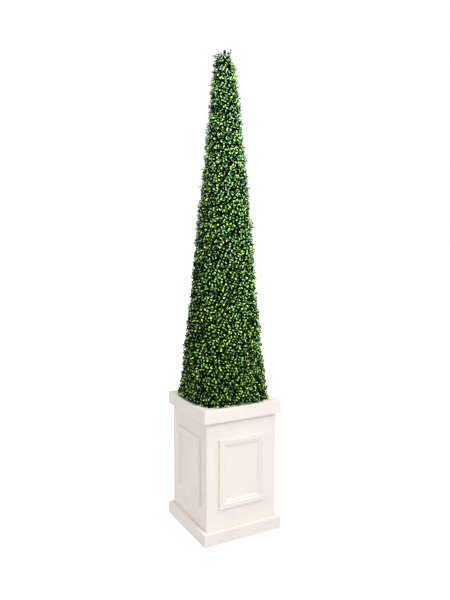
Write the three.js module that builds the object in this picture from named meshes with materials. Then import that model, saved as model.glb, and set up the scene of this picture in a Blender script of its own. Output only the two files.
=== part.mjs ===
// An artificial boxwood topiary, clipped to a tall slender cone, in its square panelled planter.
//
// Millimetres, +Z up. The origin is the middle of the planter's flat underside, and the
// planter's front faces -Y. The planter is a floor and four boards, with a cap and a plinth of
// mitred rails and a raised moulding on each side. The pole trunk stands on the fill inside it
// and runs up through the foliage, which is one clipped mass, to the bare stub at the tip.

import * as THREE from "three";
import { mergeVertices } from "three/addons/utils/BufferGeometryUtils.js";

const GAP = 0.3; // clearance between neighbouring pieces

// ---- planter ----
const PLANTER_HEIGHT = 625;
const CAP_WIDTH = 400;
const CAP_HEIGHT = 61;
const BODY_WIDTH = 363;
const BOARD = 22; // thickness of the body's boards and of the floor
const PLINTH_WIDTH = 405;
const PLINTH_HEIGHT = 60;
const EASED = 1.5; // small bevel on the cap's and the plinth's outer edges
const FILL_BELOW_RIM = 30;

// ---- raised moulding on each side of the planter ----
const PANEL_WIDTH = 242;
const PANEL_HEIGHT = 322;
const PANEL_MIDDLE = 317.5; // height of the moulding's middle above the floor
// section across a rail: inwards from its outer edge, and out from the planter's face
const MOULDING_SECTION = [
  [0, 0], [0, 9], [1.5, 10.5], [24.5, 10.5], [27.8, 7.2], [33.5, 6.6], [40.2, 0.8], [42, 0],
];

// ---- plant ----
const FOLIAGE_TOP = 2190;
const FOOT_RADIUS = 206.6;
const TAPER = 0.1035; // loss of radius for each unit of height
const CROWN_DOME = 46; // height of the rounded top of the cone
const FOOT_ROUND = 4; // the skirt's lower edge turns in by this much
const FOOT_SQUARE = 0.07; // share by which the skirt fills the planter's corners
const SQUARE_FADES = 180; // height over which that squareness fades out
const TIP_HEIGHT = 2213;
const TRUNK_FOOT_RADIUS = 17;
const TRUNK_TIP_RADIUS = 5.5;
const ROOT_FLARE = 13; // extra radius at the cut foot
const FLARE_HEIGHT = 24; // height in which the flare falls to about a third
const LEAN = 4; // sideways drift of the tip, towards +X
const TIP_BEVEL = 2; // broken edge round the sawn tip
const TRUNK_SIDES = 20;
const FOLIAGE_SIDES = 44;
const FOLIAGE_ROWS = 38;
const DOME_ROWS = 5;

// ---- worked out from the above ----
const INSIDE_WIDTH = BODY_WIDTH - 2 * BOARD;
const FILL_TOP = PLANTER_HEIGHT - FILL_BELOW_RIM;
const TRUNK_FOOT = FILL_TOP + GAP;
const FOLIAGE_FOOT = PLANTER_HEIGHT + GAP; // the clipped mass rests on the rim

// Waves that make the clipped surface uneven: how many round the cone, how many over its
// height, how far they stand out, and the phase.
const WAVES = [
  { round: 1, rise: 1, out: 2.3, phase: -1.1 },
  { round: 2, rise: 3, out: 1.8, phase: 0.4 },
  { round: 3, rise: 8, out: 2.0, phase: 2.1 },
  { round: 5, rise: 5, out: 1.7, phase: 4.4 },
  { round: 7, rise: 12, out: 1.6, phase: 5.3 },
];

const PAINT = new THREE.MeshStandardMaterial({ color: 0xf1ebe1, roughness: 0.42, metalness: 0 });
const FILL = new THREE.MeshStandardMaterial({ color: 0x2a241b, roughness: 0.95, metalness: 0 });
const BARK = new THREE.MeshStandardMaterial({ color: 0x33271d, roughness: 0.85, metalness: 0 });
const LEAVES = new THREE.MeshStandardMaterial({ color: 0x3f7a34, roughness: 0.6, metalness: 0 });

const topiary = new THREE.Group();

function addMesh(parent, name, geometry, material) {
  const mesh = new THREE.Mesh(geometry, material);
  mesh.name = name;
  parent.add(mesh);
  return mesh;
}

// A straight rail along X with mitred ends. Its section gives [inwards, out] pairs, which
// become +Y and +Z, and the rail is `length` long at its outer edge.
function mitredRail(section, length) {
  const outline = new THREE.Shape(section.map(([inwards, out]) => new THREE.Vector2(inwards, out)));
  const rail = new THREE.ExtrudeGeometry(outline, { depth: length, bevelEnabled: false });
  const alongX = new THREE.Vector3(1, 0, 0);
  const inwardsY = new THREE.Vector3(0, 1, 0);
  const outZ = new THREE.Vector3(0, 0, 1);
  rail.applyMatrix4(new THREE.Matrix4().makeBasis(inwardsY, outZ, alongX));
  const places = rail.getAttribute("position");
  const jointClearance = GAP / Math.SQRT2;
  for (let i = 0; i < places.count; i += 1) {
    const end = places.getX(i) > length / 2 ? 1 : -1;
    places.setX(i, end * (length / 2 - places.getY(i) - jointClearance));
  }
  return rail;
}

// Four mitred rails round a rectangle that lies flat, on its -Y, +X, +Y and -X sides.
function addMitredFrame(parent, names, section, width, depth, material) {
  names.forEach((name, turn) => {
    const alongX = turn % 2 === 0;
    const side = new THREE.Group();
    side.rotation.z = turn * Math.PI / 2;
    parent.add(side);
    const rail = addMesh(side, name, mitredRail(section, alongX ? width : depth), material);
    rail.position.y = -(alongX ? depth : width) / 2;
  });
}

function sideNames(prefix) {
  return ["front", "right", "back", "left"].map((side) => `${prefix}_${side}`);
}

// A rail's section standing on its lower edge, with its two outer edges bevelled.
function easedSection(thickness, bottom, top) {
  return [
    [EASED, bottom], [thickness, bottom], [thickness, top], [EASED, top],
    [0, top - EASED], [0, bottom + EASED],
  ];
}

function addBody() {
  const bottom = 0;
  const top = PLANTER_HEIGHT - CAP_HEIGHT - GAP;
  const section = [[0, bottom], [BOARD, bottom], [BOARD, top], [0, top]];
  addMitredFrame(topiary, sideNames("body_board"), section, BODY_WIDTH, BODY_WIDTH, PAINT);
}

function addCap() {
  const railWidth = (CAP_WIDTH - INSIDE_WIDTH) / 2;
  const section = easedSection(railWidth, PLANTER_HEIGHT - CAP_HEIGHT, PLANTER_HEIGHT);
  addMitredFrame(topiary, sideNames("cap_rail"), section, CAP_WIDTH, CAP_WIDTH, PAINT);
}

function addPlinth() {
  const railWidth = (PLINTH_WIDTH - BODY_WIDTH) / 2 - GAP;
  const section = easedSection(railWidth, 0, PLINTH_HEIGHT);
  addMitredFrame(topiary, sideNames("plinth_rail"), section, PLINTH_WIDTH, PLINTH_WIDTH, PAINT);
}

// The raised moulding frames one panel on each side of the planter.
function addPanelMouldings() {
  ["front", "right", "back", "left"].forEach((side, turn) => {
    const face = new THREE.Group();
    face.rotation.z = turn * Math.PI / 2;
    topiary.add(face);
    const panel = new THREE.Group();
    panel.position.set(0, -BODY_WIDTH / 2 - GAP, PANEL_MIDDLE);
    panel.rotation.x = Math.PI / 2;
    face.add(panel);
    const names = ["bottom", "right", "top", "left"].map((edge) => `moulding_${side}_${edge}`);
    addMitredFrame(panel, names, MOULDING_SECTION, PANEL_WIDTH, PANEL_HEIGHT, PAINT);
  });
}

function addInside() {
  const width = INSIDE_WIDTH - 2 * GAP;
  const floor = new THREE.BoxGeometry(width, width, BOARD);
  addMesh(topiary, "planter_floor", floor, PAINT).position.z = BOARD / 2;
  const fillBottom = BOARD + GAP;
  const fill = new THREE.BoxGeometry(width, width, FILL_TOP - fillBottom);
  addMesh(topiary, "potting_fill", fill, FILL).position.z = (FILL_TOP + fillBottom) / 2;
}

// Closed lathe solid from [radius, height] pairs, standing along Z.
function latheAlongZ(profile, sides) {
  const points = profile.map(([radius, height]) => new THREE.Vector2(radius, height));
  const turned = new THREE.LatheGeometry(points, sides);
  turned.rotateX(Math.PI / 2);
  turned.deleteAttribute("normal");
  turned.deleteAttribute("uv");
  return mergeVertices(turned, 0.001);
}

// The whole plant drifts a little to one side as it rises.
function leanWithHeight(geometry) {
  const places = geometry.getAttribute("position");
  for (let i = 0; i < places.count; i += 1) {
    const risen = (places.getZ(i) - TRUNK_FOOT) / (TIP_HEIGHT - TRUNK_FOOT);
    places.setX(i, places.getX(i) + LEAN * risen);
  }
  return geometry;
}

function trunkRadius(height) {
  const risen = height - TRUNK_FOOT;
  const tapered = (TRUNK_FOOT_RADIUS - TRUNK_TIP_RADIUS) * risen / (TIP_HEIGHT - TRUNK_FOOT);
  return TRUNK_FOOT_RADIUS - tapered + ROOT_FLARE * Math.exp(-risen / FLARE_HEIGHT);
}

// Heights where the trunk's outline is given: close together in the flare, then far apart.
function trunkHeights() {
  const heights = [FOLIAGE_FOOT, FOLIAGE_TOP];
  for (let step = 0; TRUNK_FOOT + step * step * FLARE_HEIGHT / 4 < FOLIAGE_TOP; step += 1) {
    heights.push(TRUNK_FOOT + step * step * FLARE_HEIGHT / 4);
  }
  return heights.sort((a, b) => a - b);
}

function addTrunk() {
  const profile = trunkHeights().map((height) => [trunkRadius(height), height]);
  profile.unshift([0, TRUNK_FOOT]);
  profile.push([TRUNK_TIP_RADIUS, TIP_HEIGHT - TIP_BEVEL]);
  profile.push([TRUNK_TIP_RADIUS - TIP_BEVEL, TIP_HEIGHT], [0, TIP_HEIGHT]);
  addMesh(topiary, "trunk", leanWithHeight(latheAlongZ(profile, TRUNK_SIDES)), BARK);
}

function coneRadius(height) {
  return FOOT_RADIUS - TAPER * (height - PLANTER_HEIGHT);
}

// Outer outline of the clipped mass: the turned-in skirt, the straight cone and the dome.
function foliageOutline() {
  const shoulder = FOLIAGE_TOP - CROWN_DOME;
  const skirt = FOLIAGE_FOOT + FOOT_ROUND;
  const outline = [[coneRadius(FOLIAGE_FOOT) - FOOT_ROUND, FOLIAGE_FOOT]];
  for (let row = 0; row <= FOLIAGE_ROWS; row += 1) {
    const height = skirt + (shoulder - skirt) * row / FOLIAGE_ROWS;
    outline.push([coneRadius(height), height]);
  }
  for (let row = 1; row < DOME_ROWS; row += 1) {
    const turn = Math.PI / 2 * row / DOME_ROWS;
    outline.push([coneRadius(shoulder) * Math.cos(turn), shoulder + CROWN_DOME * Math.sin(turn)]);
  }
  return outline;
}

// How far out the surface stands at one place, as a share of the plain cone's radius.
function unevenness(angle, height, radius) {
  const risen = (height - FOLIAGE_FOOT) / (FOLIAGE_TOP - FOLIAGE_FOOT);
  let bump = 0;
  for (const wave of WAVES) {
    const alongHeight = Math.cos(2 * Math.PI * wave.rise * risen + wave.phase);
    bump += wave.out * Math.sin(wave.round * angle + wave.phase) * alongHeight;
  }
  const square = FOOT_SQUARE * Math.max(0, 1 - (height - FOLIAGE_FOOT) / SQUARE_FADES);
  return 1 - square * Math.cos(4 * angle) + bump / Math.max(radius, CROWN_DOME);
}

// The clipped mass is one closed ring of foliage round the trunk. Its outer surface is moved
// in and out, and the wall of the trunk's hole is left as it is.
function addFoliage() {
  const holeRadius = (height) => (trunkRadius(height) + GAP) / Math.cos(Math.PI / FOLIAGE_SIDES);
  const wall = trunkHeights().filter((height) => height >= FOLIAGE_FOOT && height <= FOLIAGE_TOP);
  const hole = wall.map((height) => [holeRadius(height), height]).reverse();
  const profile = [...foliageOutline(), ...hole];
  profile.push(profile[0]);
  const mass = latheAlongZ(profile, FOLIAGE_SIDES);
  const places = mass.getAttribute("position");
  for (let i = 0; i < places.count; i += 1) {
    const x = places.getX(i);
    const y = places.getY(i);
    const height = places.getZ(i);
    const radius = Math.hypot(x, y);
    if (radius > holeRadius(height) + 1) {
      const share = unevenness(Math.atan2(y, x), height, radius);
      places.setXYZ(i, x * share, y * share, height);
    }
  }
  addMesh(topiary, "foliage_cone", leanWithHeight(mass), LEAVES);
}

addBody();
addCap();
addPlinth();
addPanelMouldings();
addInside();
addTrunk();
addFoliage();

export default topiary;
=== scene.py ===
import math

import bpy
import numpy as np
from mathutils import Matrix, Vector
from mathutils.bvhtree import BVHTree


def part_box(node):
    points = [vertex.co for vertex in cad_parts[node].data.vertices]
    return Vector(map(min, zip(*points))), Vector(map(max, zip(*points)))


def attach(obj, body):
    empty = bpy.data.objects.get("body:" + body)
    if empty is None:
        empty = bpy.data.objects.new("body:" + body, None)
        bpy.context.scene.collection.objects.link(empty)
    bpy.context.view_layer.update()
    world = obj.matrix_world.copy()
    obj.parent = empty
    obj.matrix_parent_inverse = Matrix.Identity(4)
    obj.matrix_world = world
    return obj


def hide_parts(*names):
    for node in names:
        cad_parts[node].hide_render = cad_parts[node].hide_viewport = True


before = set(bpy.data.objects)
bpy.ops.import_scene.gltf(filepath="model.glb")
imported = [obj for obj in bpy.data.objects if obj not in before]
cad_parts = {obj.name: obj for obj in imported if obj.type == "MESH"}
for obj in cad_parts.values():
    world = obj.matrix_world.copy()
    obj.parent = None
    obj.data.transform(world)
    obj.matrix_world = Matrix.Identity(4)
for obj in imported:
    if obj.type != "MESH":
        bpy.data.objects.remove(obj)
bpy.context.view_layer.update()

# An artificial boxwood topiary, clipped to a tall slender cone, in its square panelled planter.
#
# The planter's boards and rails become painted rings with eased edges, and so does the moulding
# on each side. The clipped mass becomes boughs, twigs and sprigs of leaves, which grow from the
# trunk by a seeded rule and end on the surface of the CAD mass. Everything is in metres, +Z up,
# with the front of the planter towards -Y, and sizes come from the CAD nodes where they can.

SEED = 16
rng = np.random.default_rng(SEED)

# ---- camera, fitted to the planter's corners ----
CAMERA_PLACE = (-1.3288, -2.4550, 1.3930)
CAMERA_TURN = math.radians(-28.58)  # anticlockwise from +Y, seen from above
CAMERA_DIP = math.radians(6.33)
CAMERA_ROLL = math.radians(0.12)
CAMERA_LENS = 35.855  # on a sensor 36 mm along the picture's long side
SIDEWAYS = (math.cos(CAMERA_TURN), math.sin(CAMERA_TURN), 0)  # to the photo's right

# ---- sizes from the frame ----
SIDES = ("front", "right", "back", "left")
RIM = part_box("cap_rail_front")[1].z
CAP_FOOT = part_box("cap_rail_front")[0].z
CAP_HALF = -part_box("cap_rail_front")[0].y
OPENING_HALF = -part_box("cap_rail_front")[1].y
BODY_HALF = -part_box("body_board_front")[0].y
PLINTH_HALF = -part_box("plinth_rail_front")[0].y
PLINTH_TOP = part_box("plinth_rail_front")[1].z
FILL_LOW, FILL_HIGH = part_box("potting_fill")
MOULDING_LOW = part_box("moulding_front_bottom")[0]
MOULDING_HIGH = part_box("moulding_front_top")[1]
TRUNK_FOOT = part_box("trunk")[0].z
TRUNK_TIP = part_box("trunk")[1].z
FOLIAGE_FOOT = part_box("foliage_cone")[0].z
FOLIAGE_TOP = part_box("foliage_cone")[1].z

# ---- studio ----
ROOM_DIM = 0.545  # strength of the room's light from its dimmest part
ROOM_BRIGHT = 0.90  # and from its brightest part
ROOM_BRIGHTEST = (0.0, 0.1, 0.97)  # the way towards that part
ROOM_TINT = (1.0, 0.96, 0.925)
FLOOR_HALF = 60
FLOOR_GLOW = 0.75
LAMP_TINT = (0.97, 1.0, 1.03)
# softboxes: place, what they point at, size and power
SOFTBOXES = {
    "key": ((0.55, -3.15, 3.4), (0, 0, 0.9), 0.36, 56),
    "high": ((0.9, -1.5, 2.9), (0, 0, 1.9), 0.4, 6),
}
# soft spotlights, one on the crown alone and one on the planter alone: place, what they point at,
# size, width of the cone in degrees, power and tint
SPOTLIGHTS = {
    "crown_spot": ((0.55, -3.15, 3.4), (0, 0, 1.57), 0.35, 24, 480, LAMP_TINT),
    "planter_fill": ((-1.9, -3.0, 1.2), (0, 0, 0.28), 1.0, 20, 54, ROOM_TINT),
}
SPOT_BLEND = 0.35  # share of a spotlight's cone in which it fades out
OVERHEAD_PLACE = (0.5, -0.8, 5)
OVERHEAD_SPREAD = math.radians(60)
OVERHEAD_STRENGTH = 0.64  # watts per square metre

# ---- planter ----
WALL = BODY_HALF - OPENING_HALF  # the body's inner faces are flush with the opening
HAIRLINE = 0.0005  # open joint between the body and its cap and plinth
EASED = 0.0022  # radius of the painted edges
BOARD_EASED = EASED / 3  # of the edges of the body, which lie in those joints
CORNER_EASED = EASED * 1.2  # of the upright corners of the cap and the plinth
SHARPEST = 0.0002  # least radius of an upright corner, at the inner side of a ring
CORNER_STEPS = 4
MOST_EASED = 0.45  # share of an edge that easing may take from either end of it
FACE_WEIGHT = 60  # pull of the large flat faces on the shading of the edges
# section across a moulding: inwards from its outer edge, and out from the planter's face
MOULDING_SECTION = (
    (0, 0), (0, 0.0090), (0.0015, 0.0105), (0.0220, 0.0105), (0.0245, 0.0066), (0.0328, 0.0064),
    (0.0370, 0.0010), (0.0420, 0),
)
MOULDING_EASED = 0.0007
MOULDING_STEPS = 3
FILL_STEPS = 44  # points along each side of the top of the fill
FILL_LUMPS = 0.004
FILL_GRAIN = 0.001
LUMP_WAVES = (71, 83)  # radians for each metre along x and y
LUMP_BENDS = (37, 41)  # radians for each metre of the waves that bend them
LUMP_SWERVE = 2  # radians by which those bend them

# ---- trunk ----
TRUNK_RADIUS_LOW = 0.017
TRUNK_RADIUS_HIGH = 0.0055
ROOT_FLARE = 0.013
FLARE_HEIGHT = 0.024
LEAN = 0.004  # sideways drift of the tip, towards +X
TRUNK_SIDES = 22
FOOT_SPAN = 0.1  # height of the foot, whose rings of points crowd towards the ground
FOOT_RINGS = 12
FOOT_CROWDING = 1.5  # exponent of that crowding
RING_STEP = 0.008  # between the rings further up
# ridges in the bark: how many round the trunk, their twist in radians for each metre, and phase
RIDGES = ((7, 21, 0), (11, -47, 1.0))
RIDGE_RELIEF = 0.07  # as a share of the radius
BARK_GRAIN = 0.015  # the same, of the random relief
# the sawn, slightly broken tip: how far each of its rings is under it, and its share of the radius
TIP_RINGS = ((0.0035, 1.0), (0.0015, 0.82), (0.0, 0.45))

# ---- branching rule ----
GOLDEN_ANGLE = math.pi * (3 - math.sqrt(5))
CROWN_DOME = 0.046  # height of the rounded top of the cone
RADIUS_WAYS = 8  # ways round the trunk in which the crown's radius is measured
RADIUS_LOWEST = 0.005  # least height above the crown's foot at which it is measured
RING_SWAY = 0.035  # by which the rings of sprigs and twigs climb and fall round the crown
FOOT_MARGIN = 0.002  # least distance of a ring's points from the foot of the crown's outline
TOP_MARGIN = 0.001  # the same, from its top
NEARLY_UP = (0.01, 0, 1)  # a way that no stem takes exactly

BOUGH_LOWEST = 0.035  # above the trunk's foot
BOUGH_HIGHEST = 0.03  # under the crown's top
BOUGH_STEP = 0.011  # rise of the trunk from one bough to the next
BOUGH_SWING = 0.15  # scatter of the boughs' directions, in radians
BOUGH_REACH = 0.45  # share of the crown's radius at which a bough forks into twigs
BOUGH_REACHES = (0.85, 1.15)  # random spread of that reach
BOUGH_RISE = 0.55  # how far a bough climbs for each metre that it goes out
BOUGH_LIFT = 0.9  # how far its end leans upwards, as the tangent of an angle
BOUGH_END_DEPTH = 0.02  # of the highest ends, under the crown's top
BOUGH_THICKNESS = 0.0016  # radius of a bough that has no reach
BOUGH_THICKENS = 0.022  # growth of that radius for each metre of reach

TWIG_SPACING = 0.040  # between twig ends, under the clipped surface
TWIG_CLOSING = 0.45  # share by which that spacing shrinks towards the crown's top
TWIG_JITTER = 0.3  # share of the spacing by which a twig's place is scattered
TWIG_DEPTH = 0.042
TWIG_MOST_DEPTH = 0.55  # of the crown's radius
TWIG_LIFT = 0.35  # as the tangent of an angle
TWIG_LOWEST = 0.006  # above the fill
TWIG_HIGHEST = 0.012  # under the crown's top
TWIG_DROP = 0.03  # how far under its own end a twig looks for its bough
TWIG_THICKNESS = 0.0021

SPRIG_SPACING = 0.0154  # between sprig tips on the clipped surface
SPRIG_JITTER = 0.20  # share of the spacing
SPRIG_TILT = 0.228  # scatter of the sprigs' directions, as the tangent of an angle
SPRIG_LIFT = 0.22  # how far the sprigs lean upwards, in the same way
SPRIG_INSET = 0.0055  # of a sprig's tip below the clipped surface, on average
SPRIG_SCATTER = 0.0024
SPRIG_DROP = 0.008  # how far under its own place a sprig looks for its twig
SPRIG_THICKNESS = 0.0010
TWIG_SCATTER = 0.0025  # further scatter, which the sprigs of one twig share
FIRST_LEAF_SHIFT = 0.42  # of a leaf, by which a sprig is set back so that its first leaf is in place
# stray sprigs at the top: the tip's distance to the photo's right of the trunk, its height, and
# the kind of spray, as a place in SPRAYS
WISPS = (
    (0.028, 2.206, 0), (0.021, 2.199, 0), (0.012, 2.192, 1), (-0.016, 2.189, 0),
    (-0.032, 2.199, 2), (-0.046, 2.185, 2), (-0.039, 2.188, 1),
)
WISP_FAN = 0.06  # under the crown's top, where the stray sprigs spread out from
TIP_THICKNESS = 0.5  # share of its thickness that a branch keeps at its tip

# ---- leaves ----
LEAF_LENGTH = 0.0117
LEAF_WIDTH = 0.0069
LEAF_SIZES = (0.85, 1.12)  # random spread of either
LEAF_CUPS = (0.3, 1.5)  # random spread of the height of a leaf's fold
LEAF_SWING = 0.25  # scatter of the leaves round their stem, in radians
LEAF_NOD = 9  # scatter of their angle to the stem, in degrees
LEAF_ROLL = 0.3  # scatter of their roll, in radians
PAIR_STEP = 0.0066  # along a sprig
# for each pair of leaves from the sprig's tip down: angle to the stem, and share of full length
PAIRS = ((58, 1.0), (64, 1.0), (70, 1.0), (76, 1.0), (80, 0.95), (84, 0.9))
TWIG_PAIRS = 15  # pairs of old leaves along a twig, in the shade inside the crown
OLD_LEAF_ANGLE = 70
OLD_LEAF_SIZE = 1.35  # of full length
# leaf outline, from its base round its tip: along the leaf, across it and up, as shares of its
# length, width and length, with a fold from the base to the tip
LEAF_POINTS = (
    (0.0, 0.0, 0.0), (0.24, -0.34, 0.07), (0.58, -0.50, 0.11), (0.88, -0.30, 0.06),
    (1.0, 0.0, -0.02), (0.88, 0.30, 0.06), (0.58, 0.50, 0.11), (0.24, 0.34, 0.07),
)
LEAF_FACES = ((0, 1, 2), (0, 2, 3), (0, 3, 4), (0, 4, 5), (0, 5, 6), (0, 6, 7))
PIECE_LEAVES = 32000  # most leaves in one piece
RIM_CLEARANCE = 0.0006  # of the leaves that lie on the rim

# Leaf tints: base colour, the second colour that it mottles towards, and specular level.
TINTS = {
    # the first two tints are painted shade, for leaves where shade falls inside the crown
    "inner": ((0.0014, 0.0034, 0.0011), (0.0024, 0.0056, 0.0018), 0.01),
    "shaded_deep": ((0.006, 0.016, 0.004), (0.010, 0.026, 0.007), 0.02),
    "green": ((0.112, 0.295, 0.042), (0.146, 0.360, 0.060), 0.12),
    # sea, mint and pale are partly the leaves' own bluish colour and partly painted sheen
    "sea": ((0.086, 0.250, 0.120), (0.120, 0.315, 0.164), 0.18),
    "fresh": ((0.355, 0.760, 0.070), (0.405, 0.820, 0.100), 0.16),
    "mint": ((0.340, 0.700, 0.320), (0.410, 0.760, 0.400), 0.20),
    "lime": ((0.480, 0.900, 0.075), (0.560, 0.930, 0.120), 0.16),
    "pale": ((0.430, 0.800, 0.290), (0.500, 0.860, 0.360), 0.20),
}
SHADED = "inner"
# Kinds of spray, from bright to dull: the tints of the two leaves of each pair from the tip down,
# for a spray of yellowish leaves and for one of bluish leaves. The dark second leaf of most pairs
# and the pairs further down are painted shade.
SPRAYS = (
    ((("lime", "shaded_deep"), ("green", "shaded_deep")), (("pale", "shaded_deep"), ("sea", "shaded_deep"))),
    ((("fresh", "shaded_deep"), ("shaded_deep", "inner")), (("mint", "sea"), ("shaded_deep", "inner"))),
    ((("green", "shaded_deep"), ("inner", "inner")), (("sea", "shaded_deep"), ("inner", "inner"))),
)
# at the foot of the crown and at its top: the share of each kind, and of bluish sprays. The bright
# kinds grow commoner towards the top as painted light, which leaves the foot darker, and the
# bluish sprays as painted sheen towards the top.
SPRAY_SHARES = ((0.20, 0.32, 0.48), (0.44, 0.42, 0.14))
BLUISH_SHARES = (0.22, 0.68)
GOLDEN_SHARE = (math.sqrt(5) - 1) / 2  # step between the numbers that deal the kinds out evenly
DEAL_SCATTER = 0.3  # random part of those numbers


# ---- materials ----

class Nodes:
    """A new material's node tree, with its Principled shader."""

    PATTERN = (0.3, 0.7)  # the values between which a noise pattern mostly lies

    def __init__(self, name):
        self.material = bpy.data.materials.new(name)
        self.material.use_nodes = True
        self.tree = self.material.node_tree
        self.shader = self.tree.nodes["Principled BSDF"]
        self.place = self.add("ShaderNodeTexCoord").outputs["Object"]

    def add(self, kind, **sockets):
        """A new node, with values for its sockets, whose names have _ for a space."""
        node = self.tree.nodes.new(kind)
        for name, value in sockets.items():
            node.inputs[name.replace("_", " ")].default_value = value
        return node

    def link(self, output, target):
        self.tree.links.new(output, target)

    def noise(self, scale, detail, roughness=0.55, stretch=(1, 1, 1)):
        """A noise pattern in metres, stretched along the axes, as a 0 to 1 value."""
        mapping = self.add("ShaderNodeMapping", Scale=stretch)
        noise = self.add("ShaderNodeTexNoise", Scale=scale, Detail=detail, Roughness=roughness)
        self.link(self.place, mapping.inputs["Vector"])
        self.link(mapping.outputs["Vector"], noise.inputs["Vector"])
        return noise.outputs["Fac"]

    def vary(self, socket, pattern, low, high):
        """One of the shader's sockets goes from one colour or grey to another with a pattern."""
        ramp = self.add("ShaderNodeValToRGB")
        first, last = ramp.color_ramp.elements
        first.position, last.position = self.PATTERN
        first.color, last.color = colour(low), colour(high)
        self.link(pattern, ramp.inputs["Fac"])
        self.link(ramp.outputs["Color"], self.shader.inputs[socket])

    def bump(self, pattern, distance, strength=1.0):
        bump = self.add("ShaderNodeBump", Strength=strength, Distance=distance)
        self.link(pattern, bump.inputs["Height"])
        self.link(bump.outputs["Normal"], self.shader.inputs["Normal"])

    def set(self, **sockets):
        """Values that are the same all over, on the shader's own sockets."""
        for name, value in sockets.items():
            self.shader.inputs[name.replace("_", " ")].default_value = value


def colour(value):
    """A grey or an (r, g, b) as a colour with alpha."""
    rgb = (value,) * 3 if isinstance(value, (int, float)) else value
    return (*rgb, 1.0)


def painted_board():
    """Cream satin paint, with faint brush marks and a slight unevenness in its tone."""
    nodes = Nodes("cream_paint")
    tone = nodes.noise(scale=9, detail=4)
    nodes.vary("Base Color", tone, low=(0.826, 0.774, 0.728), high=(0.864, 0.813, 0.767))
    nodes.vary("Roughness", nodes.noise(scale=40, detail=3), low=0.42, high=0.54)
    nodes.bump(nodes.noise(scale=420, detail=2), distance=0.00012, strength=0.5)
    nodes.set(Specular_IOR_Level=0.35)
    return nodes.material


def mossy_fill():
    """Dark filler with moss on it."""
    nodes = Nodes("mossy_fill")
    moss = nodes.noise(scale=60, detail=5)
    nodes.vary("Base Color", moss, low=(0.010, 0.009, 0.006), high=(0.032, 0.046, 0.014))
    nodes.bump(nodes.noise(scale=260, detail=5), distance=0.003)
    nodes.set(Roughness=0.95, Specular_IOR_Level=0.15)
    return nodes.material


def bark(name, low, high):
    """Dull bark, with a grain that runs up the stem."""
    nodes = Nodes(name)
    grain = nodes.noise(scale=90, detail=5, roughness=0.6, stretch=(1, 1, 0.12))
    nodes.vary("Base Color", grain, low, high)
    nodes.bump(grain, distance=0.0012)
    nodes.set(Roughness=0.82, Specular_IOR_Level=0.04)
    return nodes.material


def leaf_finish(name, base, mottled, specular):
    """Soft moulded plastic leaf, mottled a little, with a satin sheen."""
    nodes = Nodes(name)
    nodes.vary("Base Color", nodes.noise(scale=85, detail=2), low=base, high=mottled)
    nodes.vary("Roughness", nodes.noise(scale=300, detail=2), low=0.46, high=0.60)
    nodes.bump(nodes.noise(scale=700, detail=2), distance=0.0002, strength=0.6)
    nodes.set(Specular_IOR_Level=specular)
    return nodes.material


def studio_floor():
    """A matt, nearly white floor, with a glow of its own."""
    nodes = Nodes("studio_floor")
    nodes.vary("Base Color", nodes.noise(scale=3, detail=2), low=0.93, high=0.95)
    nodes.set(Roughness=0.9, Specular_IOR_Level=0.1)
    nodes.set(Emission_Strength=FLOOR_GLOW, Emission_Color=(1, 1, 1, 1))
    return nodes.material


# ---- mesh building ----

def add_mesh(name, points, faces, material, smooth=True):
    """An object from an array of points and an array of faces, which all have as many corners."""
    points = np.ascontiguousarray(points, dtype=np.float32).reshape(-1, 3)
    faces = np.ascontiguousarray(faces, dtype=np.int32)
    mesh = bpy.data.meshes.new(name)
    mesh.vertices.add(len(points))
    mesh.vertices.foreach_set("co", points.ravel())
    mesh.loops.add(faces.size)
    mesh.loops.foreach_set("vertex_index", faces.ravel())
    mesh.polygons.add(len(faces))
    starts = np.arange(0, faces.size, faces.shape[1], dtype=np.int32)
    mesh.polygons.foreach_set("loop_start", starts)
    mesh.polygons.foreach_set("use_smooth", np.full(len(faces), smooth))
    mesh.update(calc_edges=True)
    mesh.materials.append(material)
    obj = bpy.data.objects.new(name, mesh)
    bpy.context.scene.collection.objects.link(obj)
    return obj


def stand_for(piece, slot, *nodes):
    """The piece rides on the body and replaces the CAD nodes. Its slot is not used."""
    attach(piece, "root")
    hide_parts(*nodes)


def grid_faces(rows, columns, closed_rows=False, closed_columns=True):
    """Quads of a grid of points, which may close on itself both ways."""
    row = np.arange(rows if closed_rows else rows - 1)[:, None]
    column = np.arange(columns if closed_columns else columns - 1)[None, :]
    next_row = (row + 1) % rows
    next_column = (column + 1) % columns
    quads = np.stack(np.broadcast_arrays(
        row * columns + column, row * columns + next_column,
        next_row * columns + next_column, next_row * columns + column), axis=-1)
    return quads.reshape(-1, 4)


def tube_faces(rings, sides):
    """Triangles of a tube of rings of points, with a flat fan at either end."""
    quads = grid_faces(rings, sides)
    walls = np.concatenate([quads[:, [0, 1, 2]], quads[:, [0, 2, 3]]])
    fan = np.arange(1, sides - 1)
    foot = np.stack([np.zeros_like(fan), fan + 1, fan], axis=-1)
    tip = np.stack([np.zeros_like(fan), fan, fan + 1], axis=-1) + (rings - 1) * sides
    return np.concatenate([walls, foot, tip])


def eased(corners, radius, steps=CORNER_STEPS):
    """A closed outline with each corner rounded off."""
    corners = np.array(corners, dtype=float)
    share = np.linspace(0, 1, steps + 1)[:, None]
    outline = []
    for i, corner in enumerate(corners):
        arms = []
        for other in (corners[i - 1], corners[(i + 1) % len(corners)]):
            arm = other - corner
            length = np.linalg.norm(arm)
            arms.append(corner + arm / length * min(radius, length * MOST_EASED))
        before, after = arms
        bend = 2 * share * (1 - share) * corner
        outline.append((1 - share) ** 2 * before + bend + share ** 2 * after)
    return np.concatenate(outline)


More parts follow.
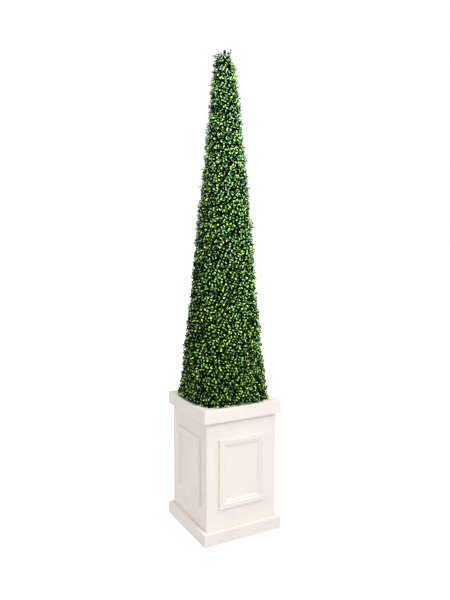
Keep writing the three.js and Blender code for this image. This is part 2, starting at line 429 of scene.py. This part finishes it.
def rounded_rectangle(half_x, half_y, radius):
    """Points round a rectangle, anticlockwise, with arcs at its corners."""
    arc = np.linspace(0, math.pi / 2, CORNER_STEPS + 1)
    loop = []
    for turn, (side_x, side_y) in enumerate(((1, -1), (1, 1), (-1, 1), (-1, -1))):
        angle = arc + (turn - 1) * math.pi / 2
        x = side_x * (half_x - radius) + radius * np.cos(angle)
        y = side_y * (half_y - radius) + radius * np.sin(angle)
        loop.append(np.stack([x, y], axis=-1))
    return np.concatenate(loop)


def swept_ring(name, section, half_x, half_y, corner, material, place=None):
    """A closed section of (inset, height) pairs, swept round a rectangle with rounded corners."""
    loops = []
    for inset, height in section:
        radius = max(corner - inset, SHARPEST)
        loop = rounded_rectangle(half_x - inset, half_y - inset, radius)
        loops.append(np.column_stack([loop, np.full(len(loop), height)]))
    points = np.concatenate(loops)
    if place is not None:
        points = points @ np.array(place.to_3x3()).T + np.array(place.translation)
    faces = grid_faces(len(loops), len(loops[0]), closed_rows=True)
    ring = add_mesh(name, points, faces, material)
    weighted = ring.modifiers.new("flat_faces", "WEIGHTED_NORMAL")
    weighted.weight = FACE_WEIGHT
    return ring


def tubes(paths, radii, sides):
    """Closed tubes along many paths at once: paths are (tubes, steps, 3), radii (tubes, steps)."""
    count, steps, _ = paths.shape
    along = unit(np.gradient(paths, axis=1))
    crosswise = np.eye(3)[np.abs(along.mean(axis=1)).argmin(axis=1)]  # the axis it follows least
    first = unit(np.cross(along, crosswise[:, None, :]))
    second = np.cross(along, first)
    turn = np.arange(sides) * 2 * math.pi / sides
    out = first[:, :, None, :] * np.cos(turn)[:, None]
    out = out + second[:, :, None, :] * np.sin(turn)[:, None]
    points = paths[:, :, None, :] + out * radii[:, :, None, None]
    first_point = np.arange(count) * steps * sides
    faces = tube_faces(steps, sides)[None] + first_point[:, None, None]
    return points.reshape(-1, 3), faces.reshape(-1, 3)


def unit(vectors):
    """Vectors of length 1 that point the same ways."""
    return vectors / np.linalg.norm(vectors, axis=-1, keepdims=True)


# ---- planter ----

def make_planter(paint):
    """The body, the cap and the plinth are a ring each."""
    body_foot, body_top = HAIRLINE, CAP_FOOT - HAIRLINE
    body = [(0, body_foot), (WALL, body_foot), (WALL, body_top), (0, body_top)]
    body = eased(body, BOARD_EASED)
    boards = swept_ring("planter_body", body, BODY_HALF, BODY_HALF, EASED, paint)
    stand_for(boards, "painted_board", *[f"body_board_{side}" for side in SIDES])

    cap_width = CAP_HALF - OPENING_HALF
    cap = eased([(0, CAP_FOOT), (cap_width, CAP_FOOT), (cap_width, RIM), (0, RIM)], EASED)
    rails = swept_ring("planter_cap", cap, CAP_HALF, CAP_HALF, CORNER_EASED, paint)
    stand_for(rails, "painted_board", *[f"cap_rail_{side}" for side in SIDES])

    plinth_width = PLINTH_HALF - BODY_HALF - HAIRLINE
    plinth = [(0, 0), (plinth_width, 0), (plinth_width, PLINTH_TOP), (0, PLINTH_TOP)]
    plinth = eased(plinth, EASED)
    foot = swept_ring("planter_plinth", plinth, PLINTH_HALF, PLINTH_HALF, CORNER_EASED, paint)
    stand_for(foot, "painted_board", *[f"plinth_rail_{side}" for side in SIDES])

    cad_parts["planter_floor"].data.materials[0] = paint


def make_mouldings(paint):
    """The raised moulding of each side is one mitred ring, standing on the planter's face."""
    half_x = (MOULDING_HIGH.x - MOULDING_LOW.x) / 2
    half_y = (MOULDING_HIGH.z - MOULDING_LOW.z) / 2
    middle = (MOULDING_HIGH.z + MOULDING_LOW.z) / 2
    section = eased(MOULDING_SECTION, MOULDING_EASED, MOULDING_STEPS)
    upright = Matrix.Translation((0, -BODY_HALF, middle)) @ Matrix.Rotation(math.pi / 2, 4, "X")
    edges = ("bottom", "right", "top", "left")
    for turns, side in enumerate(SIDES):
        name = f"moulding_ring_{side}"
        place = Matrix.Rotation(turns * math.pi / 2, 4, "Z") @ upright
        ring = swept_ring(name, section, half_x, half_y, MOULDING_EASED, paint, place)
        stand_for(ring, "painted_board", *[f"moulding_{side}_{edge}" for edge in edges])


def make_fill(material):
    """The block of fill, with a lumpy top."""
    across = np.linspace(FILL_LOW.x, FILL_HIGH.x, FILL_STEPS)
    back = np.linspace(FILL_LOW.y, FILL_HIGH.y, FILL_STEPS)
    x, y = np.meshgrid(across, back)
    waves_x = np.sin(x * LUMP_WAVES[0] + np.sin(y * LUMP_BENDS[0]) * LUMP_SWERVE)
    waves_y = np.sin(y * LUMP_WAVES[1] + np.sin(x * LUMP_BENDS[1]) * LUMP_SWERVE)
    lumps = FILL_LUMPS * (0.5 + 0.5 * waves_x * waves_y)
    top = FILL_HIGH.z - lumps + rng.uniform(-FILL_GRAIN, 0, x.shape)
    upper = np.stack([x, y, top], axis=-1).reshape(-1, 3)
    lower = upper.copy()
    lower[:, 2] = FILL_LOW.z

    below = len(upper)
    cells = grid_faces(FILL_STEPS, FILL_STEPS, closed_columns=False)
    index = np.arange(below).reshape(FILL_STEPS, FILL_STEPS)
    edge = np.concatenate([index[0, :-1], index[:-1, -1], index[-1, :0:-1], index[:0:-1, 0]])
    after = np.roll(edge, -1)
    walls = np.stack([edge, edge + below, after + below, after], axis=-1)
    faces = np.concatenate([cells, cells[:, ::-1] + below, walls])
    fill = add_mesh("mossy_fill_block", np.concatenate([upper, lower]), faces, material)
    stand_for(fill, "potting_fill", "potting_fill")


# ---- trunk ----

def axis_at(height):
    """The middle of the trunk at a height: it drifts a little towards +X."""
    height = np.asarray(height, dtype=float)
    risen = (height - TRUNK_FOOT) / (TRUNK_TIP - TRUNK_FOOT)
    return np.stack([LEAN * risen, np.zeros_like(risen), height], axis=-1)


def trunk_radius(height):
    """A steady taper, with a flare at the root."""
    risen = height - TRUNK_FOOT
    share = risen / (TRUNK_TIP - TRUNK_FOOT)
    taper = TRUNK_RADIUS_LOW + (TRUNK_RADIUS_HIGH - TRUNK_RADIUS_LOW) * share
    return taper + ROOT_FLARE * np.exp(-risen / FLARE_HEIGHT)


def make_trunk(material):
    """The pole, with ridges and a grain in its bark, and a sawn, slightly broken tip."""
    under_tip, tip_share = np.array(TIP_RINGS).T
    heights = np.concatenate([
        TRUNK_FOOT + np.linspace(0, 1, FOOT_RINGS) ** FOOT_CROWDING * FOOT_SPAN,
        np.arange(TRUNK_FOOT + FOOT_SPAN + RING_STEP, TRUNK_TIP - RING_STEP / 2, RING_STEP),
        TRUNK_TIP - under_tip])
    narrowing = np.ones(len(heights))
    narrowing[-len(TIP_RINGS):] = tip_share
    angle = np.arange(TRUNK_SIDES) * 2 * math.pi / TRUNK_SIDES
    ridges = np.mean([np.sin(number * angle + heights[:, None] * twist + phase)
                      for number, twist, phase in RIDGES], axis=0)
    relief = 1 + RIDGE_RELIEF * ridges + rng.normal(0, BARK_GRAIN, ridges.shape)
    radius = (trunk_radius(heights) * narrowing)[:, None] * relief
    ring = np.stack([np.cos(angle), np.sin(angle)], axis=-1)
    points = np.repeat(axis_at(heights)[:, None, :], TRUNK_SIDES, axis=1)
    points[:, :, :2] += ring[None] * radius[:, :, None]
    trunk = add_mesh("trunk_bark", points, tube_faces(len(heights), TRUNK_SIDES), material)
    stand_for(trunk, "bark", "trunk")


# ---- branching rule ----

class Crown:
    """The clipped surface of the CAD mass, as places at an angle round the trunk and a distance
    along the outline, which runs up the side of the cone and over its dome."""

    def __init__(self, node):
        mesh = node.data
        points = [vertex.co.copy() for vertex in mesh.vertices]
        faces = [tuple(face.vertices) for face in mesh.polygons]
        self.tree = BVHTree.FromPolygons(points, faces)
        self.shoulder = FOLIAGE_TOP - CROWN_DOME
        self.side = self.shoulder - FOLIAGE_FOOT
        self.dome = CROWN_DOME * math.pi / 2
        self.length = self.side + self.dome

    def rise(self, along):
        """The angle by which the way out points up, which it only does on the dome."""
        return max(0.0, along - self.side) / self.dome * math.pi / 2

    def at(self, angle, along):
        """The point on the surface and the way out of it."""
        rise = self.rise(along)
        height = FOLIAGE_FOOT + min(along, self.side)
        flat = math.cos(rise)
        out = Vector((math.cos(angle) * flat, math.sin(angle) * flat, math.sin(rise)))
        start = Vector(axis_at(height)) + out
        hit, normal, _, _ = self.tree.ray_cast(start, -out)
        return hit, normal

    def radius(self, height):
        """The mean radius of the clipped mass at a height."""
        height = min(max(height, FOLIAGE_FOOT + RADIUS_LOWEST), self.shoulder)
        middle = Vector(axis_at(height))
        angles = [way * 2 * math.pi / RADIUS_WAYS for way in range(RADIUS_WAYS)]
        hits = [self.at(angle, height - FOLIAGE_FOOT)[0] for angle in angles]
        return sum((hit - middle).length for hit in hits) / len(hits)

    def lattice(self, spacing, jitter, closing=0.0):
        """Points and normals a spacing apart, in staggered rings that climb and fall round the
        crown. The spacing shrinks by the share closing towards the top."""
        points, normals = [], []
        along = spacing / 4
        ring = 0
        while along < self.length - 2 * TOP_MARGIN:
            step = spacing * (1 - closing * along / self.length)
            sway = RING_SWAY * math.sin(math.pi * along / self.length)
            radius = self.radius(FOLIAGE_FOOT + along) * math.cos(self.rise(along))
            count = max(1, round(2 * math.pi * radius / step))
            for i in range(count):
                shift_round, shift_up = rng.uniform(-jitter, jitter, 2)
                angle = (i + 0.5 * (ring % 2) + shift_round) * 2 * math.pi / count
                place = along + sway * math.sin(2 * angle + 1) + shift_up * step
                place = min(max(place, FOOT_MARGIN), self.length - TOP_MARGIN)
                hit, normal = self.at(angle, place)
                points.append(hit)
                normals.append(normal)
            along += step * math.sqrt(3) / 2
            ring += 1
        return np.array(points), np.array(normals)


class Curves:
    """Many curves at once: each leaves its start freely and arrives at its end in a direction.
    A sprig also has a turn, that of its first pair of leaves round the stem."""

    PULL = 0.58  # of the span, from the end back to the handle
    FIRST_SHARE = 0.04  # of the way, before which nothing grows on a curve

    def __init__(self, starts, ends, arrive, turn=0.0):
        self.starts, self.ends, self.turn = starts, ends, turn
        self.span = np.linalg.norm(ends - starts, axis=1)
        self.handles = ends - arrive * self.span[:, None] * self.PULL

    def at(self, share):
        """Points, at a share of the way for each curve."""
        share = np.broadcast_to(share, self.span.shape)[:, None]
        return ((1 - share) ** 2 * self.starts + 2 * share * (1 - share) * self.handles
                + share ** 2 * self.ends)

    def heading(self, share):
        """Directions, at a share of the way for each curve."""
        share = np.broadcast_to(share, self.span.shape)[:, None]
        return unit((1 - share) * (self.handles - self.starts) + share * (self.ends - self.handles))

    def back_from_tip(self, distance):
        """The share of the way at which each curve is about that distance short of its tip."""
        return np.clip(1 - distance / (2 * self.PULL * self.span), self.FIRST_SHARE, 1)

    def paths(self, steps):
        """Points at even steps along each curve."""
        return np.stack([self.at(share) for share in np.linspace(0, 1, steps)], axis=1)


def radial(stem, turn):
    """The way out from each stem, at a turn round it."""
    first = unit(np.cross(stem, NEARLY_UP))
    second = np.cross(first, stem)
    turn = np.broadcast_to(turn, len(stem))[:, None]
    return first * np.cos(turn) + second * np.sin(turn)


def nearest(points, others, drop=0.0):
    """For each point, moved down by drop, the index of the nearest of the others."""
    wanted = points - np.array([0, 0, drop])
    gap = ((wanted[:, None, :] - others[None]) ** 2).sum(axis=2)
    return gap.argmin(axis=1)


def grow_boughs(crown):
    """Boughs leave the trunk by the golden angle, climb and end inside the crown."""
    foot = np.arange(TRUNK_FOOT + BOUGH_LOWEST, FOLIAGE_TOP - BOUGH_HIGHEST, BOUGH_STEP)
    count = len(foot)
    angle = np.arange(count) * GOLDEN_ANGLE + rng.normal(0, BOUGH_SWING, count)
    reach = np.array([crown.radius(height) for height in foot]) * BOUGH_REACH
    reach *= rng.uniform(*BOUGH_REACHES, count)
    out = np.stack([np.cos(angle), np.sin(angle), np.zeros_like(angle)], axis=-1)
    starts = axis_at(foot)
    ends = starts + out * reach[:, None]
    ends[:, 2] = np.minimum(ends[:, 2] + BOUGH_RISE * reach, FOLIAGE_TOP - BOUGH_END_DEPTH)
    boughs = Curves(starts, ends, unit(out + (0, 0, BOUGH_LIFT)))
    return boughs, BOUGH_THICKNESS + BOUGH_THICKENS * reach


def grow_twigs(crown, boughs):
    """Twigs fork from the nearest bough's end and stop a little way under the surface."""
    points, normals = crown.lattice(TWIG_SPACING, TWIG_JITTER, TWIG_CLOSING)
    radius = np.linalg.norm((points - axis_at(points[:, 2]))[:, :2], axis=1)
    depth = np.minimum(TWIG_DEPTH, TWIG_MOST_DEPTH * radius)
    ends = points - normals * depth[:, None]
    ends[:, 2] = np.clip(ends[:, 2], FILL_HIGH.z + TWIG_LOWEST, FOLIAGE_TOP - TWIG_HIGHEST)
    starts = boughs.ends[nearest(ends, boughs.ends, TWIG_DROP)]
    twigs = Curves(starts, ends, unit(normals + (0, 0, TWIG_LIFT)))
    return twigs, np.full(len(ends), TWIG_THICKNESS)


def grow_sprigs(crown, twigs):
    """Sprigs fork from the twigs' ends and reach the clipped surface, each its own way. A few
    stray ones stand out at the top."""
    points, normals = crown.lattice(SPRIG_SPACING, SPRIG_JITTER)
    count = len(points)
    scatter = SPRIG_TILT * rng.normal(0, 1, (count, 3))
    arrive = unit(normals + scatter + (0, 0, SPRIG_LIFT))
    parent = nearest(points - normals * TWIG_DEPTH, twigs.ends, SPRIG_DROP)
    shared = rng.normal(0, TWIG_SCATTER, len(twigs.ends))[parent]
    inset = rng.normal(SPRIG_INSET, SPRIG_SCATTER, count) + shared
    turn = rng.uniform(0, 2 * math.pi, count)
    set_back = radial(arrive, turn) * LEAF_LENGTH * FIRST_LEAF_SHIFT
    ends = points - normals * inset[:, None] - set_back

    strays = np.array([axis_at(height) + np.array(SIDEWAYS) * offset for offset, height, _ in WISPS])
    parent = np.concatenate([parent, nearest(strays, twigs.ends)])
    ends = np.concatenate([ends, strays])
    arrive = np.concatenate([arrive, unit(strays - axis_at(FOLIAGE_TOP - WISP_FAN))])
    turn = np.concatenate([turn, rng.uniform(0, 2 * math.pi, len(WISPS))])
    sprigs = Curves(twigs.ends[parent], ends, arrive, turn)
    return sprigs, np.full(len(ends), SPRIG_THICKNESS)


def make_wood(name, curves, thickness, steps, sides, material):
    """Curves as tubes that get thinner towards their tips."""
    radii = thickness[:, None] * np.linspace(1, TIP_THICKNESS, steps)[None]
    points, faces = tubes(curves.paths(steps), radii, sides)
    stand_for(add_mesh(name, points, faces, material), "bark", "foliage_cone")


# ---- leaves ----

def place_leaves(base, along, up, length, width, cup):
    """The points of a leaf at each of many places, each with its own frame, size and cup."""
    shape = np.array(LEAF_POINTS)
    across = np.cross(up, along)
    return (base[:, None]
            + along[:, None] * (shape[None, :, 0] * length[:, None])[..., None]
            + across[:, None] * (shape[None, :, 1] * width[:, None])[..., None]
            + up[:, None] * (shape[None, :, 2] * (cup * length)[:, None])[..., None])


def leaf_pair(curves, share, angle, turn, size):
    """The points of two opposite leaves on each curve, at an angle to it in degrees."""
    count = len(share)
    base = curves.at(share)
    stem = curves.heading(share)
    pair = []
    for opposite in (0, math.pi):
        out = radial(stem, turn + opposite + rng.normal(0, LEAF_SWING, count))
        lean = np.radians(angle + rng.normal(0, LEAF_NOD, count))[:, None]
        along = stem * np.cos(lean) + out * np.sin(lean)
        up = stem * np.sin(lean) - out * np.cos(lean)
        roll = rng.normal(0, LEAF_ROLL, count)[:, None]
        up = up * np.cos(roll) + np.cross(along, up) * np.sin(roll)
        length = LEAF_LENGTH * size * rng.uniform(*LEAF_SIZES, count)
        width = LEAF_WIDTH * size * rng.uniform(*LEAF_SIZES, count)
        cup = rng.uniform(*LEAF_CUPS, count)
        pair.append(place_leaves(base, along, up, length, width, cup))
    return np.concatenate(pair)


def deal(risen, low, high):
    """A kind for each spray, with shares that go from low to high with the height. Sprays next to
    each other in a ring get numbers far apart, so that a kind is spread evenly."""
    shares = np.array(low) + (np.array(high) - np.array(low)) * np.clip(risen, 0, 1)[:, None]
    count = len(risen)
    drawn = (np.arange(count) * GOLDEN_SHARE + rng.uniform(0, DEAL_SCATTER, count)) % 1
    return (drawn[:, None] > np.cumsum(shares, axis=1)[:, :-1]).sum(axis=1)


def deal_tints(sprigs):
    """For each pair of leaves from the tip down, the tints of the first leaf of the pair on every
    sprig, and then those of the second."""
    risen = (sprigs.ends[:, 2] - FOLIAGE_FOOT) / (FOLIAGE_TOP - FOLIAGE_FOOT)
    # brighter sprays higher up: painted light, darker towards the foot
    kind = deal(risen, *SPRAY_SHARES)
    kind[-len(WISPS):] = [wisp[2] for wisp in WISPS]
    # more bluish sprays higher up: painted sheen
    bluish = deal(risen, *[(1 - share, share) for share in BLUISH_SHARES])
    dealt = []
    for number in range(len(PAIRS)):
        choices = [[hue[number] if number < len(hue) else (SHADED, SHADED) for hue in spray]
                   for spray in SPRAYS]
        dealt.append(np.array(choices)[kind, bluish].T.ravel())
    return dealt


def grow_leaves(sprigs, twigs):
    """The points of the leaves of each tint. Opposite pairs stand down each sprig, each a quarter
    turn from the last, and along the twigs inside."""
    grown = {tint: [] for tint in TINTS}
    for number, tints in enumerate(deal_tints(sprigs)):
        angle, size = PAIRS[number]
        share = sprigs.back_from_tip(number * PAIR_STEP)
        points = leaf_pair(sprigs, share, angle, sprigs.turn + number * math.pi / 2, size)
        for tint, batches in grown.items():
            batches.append(points[tints == tint])
    for number in range(TWIG_PAIRS):
        share = np.full(len(twigs.span), 1 - number / TWIG_PAIRS)
        points = leaf_pair(twigs, share, OLD_LEAF_ANGLE, number * GOLDEN_ANGLE, OLD_LEAF_SIZE)
        # the old leaves along the twigs all take the tint of painted shade
        grown[SHADED].append(points)
    return {tint: keep_off_rim(np.concatenate(batches)) for tint, batches in grown.items()}


def keep_off_rim(points):
    """Leaves that hang over the planter's rim lie on it."""
    lowest = RIM + RIM_CLEARANCE
    over = np.abs(points[..., :2]).max(axis=-1) > OPENING_HALF
    points[..., 2] = np.where(over & (points[..., 2] < lowest), lowest, points[..., 2])
    return points


def make_leaves(sprigs, twigs):
    """The leaves of each tint, in pieces of a limited size."""
    for tint, points in grow_leaves(sprigs, twigs).items():
        finish = leaf_finish(f"leaf_{tint}", *TINTS[tint])
        for part, start in enumerate(range(0, len(points), PIECE_LEAVES)):
            some = points[start:start + PIECE_LEAVES]
            first_point = np.arange(len(some)) * len(LEAF_POINTS)
            faces = np.array(LEAF_FACES)[None] + first_point[:, None, None]
            leaves = add_mesh(f"leaves_{tint}_{part + 1}", some, faces.reshape(-1, 3), finish)
            stand_for(leaves, "foliage", "foliage_cone")


def make_crown():
    """Boughs, twigs, sprigs and leaves, which grow on from each other."""
    crown = Crown(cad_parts["foliage_cone"])
    boughs, bough_thickness = grow_boughs(crown)
    twigs, twig_thickness = grow_twigs(crown, boughs)
    sprigs, sprig_thickness = grow_sprigs(crown, twigs)
    twig_bark = bark("twig_bark", (0.010, 0.009, 0.005), (0.028, 0.024, 0.014))
    make_wood("boughs", boughs, bough_thickness, steps=6, sides=6, material=twig_bark)
    make_wood("twigs", twigs, twig_thickness, steps=5, sides=4, material=twig_bark)
    make_wood("sprig_stems", sprigs, sprig_thickness, steps=5, sides=3, material=twig_bark)
    make_leaves(sprigs, twigs)


# ---- studio ----

def make_camera():
    """The camera of the photo."""
    turn, dip, roll = CAMERA_TURN, CAMERA_DIP, CAMERA_ROLL
    flat = math.cos(dip)
    ahead = Vector((-math.sin(turn) * flat, math.cos(turn) * flat, -math.sin(dip)))
    level = Vector((math.cos(turn), math.sin(turn), 0))
    upright = level.cross(ahead)
    right = level * math.cos(roll) + upright * math.sin(roll)
    up = upright * math.cos(roll) - level * math.sin(roll)
    axes = Matrix((right, up, -ahead)).transposed()
    data = bpy.data.cameras.new("camera")
    data.lens = CAMERA_LENS
    camera = bpy.data.objects.new("camera", data)
    camera.matrix_world = Matrix.Translation(CAMERA_PLACE) @ axes.to_4x4()
    bpy.context.scene.collection.objects.link(camera)
    bpy.context.scene.camera = camera


def aim_light(name, data, place, target):
    """A light at a place, which points at a target."""
    light = bpy.data.objects.new(name, data)
    light.location = place
    light.rotation_mode = "QUATERNION"
    light.rotation_quaternion = (Vector(target) - Vector(place)).to_track_quat("-Z", "Y")
    bpy.context.scene.collection.objects.link(light)


def add_softbox(name, place, target, size, power):
    """A round glowing disk."""
    data = bpy.data.lights.new(name, "AREA")
    data.shape = "DISK"
    data.size = size
    data.energy = power
    data.color = LAMP_TINT
    aim_light(name, data, place, target)


def add_spotlight(name, place, target, size, cone, power, tint):
    """A round lamp whose light fades out softly towards the edge of its cone."""
    data = bpy.data.lights.new(name, "SPOT")
    data.shadow_soft_size = size / 2
    data.spot_size = math.radians(cone)
    data.spot_blend = SPOT_BLEND
    data.energy = power
    data.color = tint
    aim_light(name, data, place, target)


def add_overhead():
    """A very wide light a long way off, so that it falls evenly on the floor as well."""
    data = bpy.data.lights.new("overhead", "SUN")
    data.angle = OVERHEAD_SPREAD
    data.energy = OVERHEAD_STRENGTH
    aim_light("overhead", data, OVERHEAD_PLACE, (0, 0, 0))


def room_light(tree):
    """The light of the pale room, which is a little brighter towards its lamps."""
    way = tree.nodes.new("ShaderNodeTexCoord")
    towards = tree.nodes.new("ShaderNodeVectorMath")
    towards.operation = "DOT_PRODUCT"
    towards.inputs[1].default_value = Vector(ROOM_BRIGHTEST).normalized()
    level = tree.nodes.new("ShaderNodeMapRange")
    level.inputs["From Min"].default_value = -1
    level.inputs["To Min"].default_value = ROOM_DIM
    level.inputs["To Max"].default_value = ROOM_BRIGHT
    room = tree.nodes["Background"]
    room.inputs["Color"].default_value = colour(ROOM_TINT)
    tree.links.new(way.outputs["Generated"], towards.inputs[0])
    tree.links.new(towards.outputs["Value"], level.inputs["Value"])
    tree.links.new(level.outputs["Result"], room.inputs["Strength"])
    return room


def make_world():
    """A white room: the backdrop is pure white, and the light that it gives is softer."""
    world = bpy.data.worlds.new("studio")
    world.use_nodes = True
    tree = world.node_tree
    backdrop = tree.nodes.new("ShaderNodeBackground")
    backdrop.inputs["Color"].default_value = (1, 1, 1, 1)
    seen = tree.nodes.new("ShaderNodeLightPath")
    mix = tree.nodes.new("ShaderNodeMixShader")
    tree.links.new(seen.outputs["Is Camera Ray"], mix.inputs["Fac"])
    tree.links.new(room_light(tree).outputs["Background"], mix.inputs[1])
    tree.links.new(backdrop.outputs["Background"], mix.inputs[2])
    tree.links.new(mix.outputs["Shader"], tree.nodes["World Output"].inputs["Surface"])
    bpy.context.scene.world = world
    bpy.context.scene.view_settings.view_transform = "Standard"


def make_studio():
    """The room, its lamps and its floor."""
    make_world()
    for name, (place, target, size, power) in SOFTBOXES.items():
        add_softbox(name, place, target, size, power)
    for name, (place, target, size, cone, power, tint) in SPOTLIGHTS.items():
        add_spotlight(name, place, target, size, cone, power, tint)
    add_overhead()
    corners = [(-1, -1, 0), (1, -1, 0), (1, 1, 0), (-1, 1, 0)]
    faces = np.array([[0, 1, 2, 3]])
    floor = add_mesh("floor", np.array(corners) * FLOOR_HALF, faces, studio_floor(), smooth=False)
    floor.visible_diffuse = False  # the room's light reaches the planter from below instead


make_camera()
make_studio()
paint = painted_board()
make_planter(paint)
make_mouldings(paint)
make_fill(mossy_fill())
make_trunk(bark("pole_bark", (0.005, 0.003, 0.003), (0.022, 0.014, 0.011)))
make_crown()
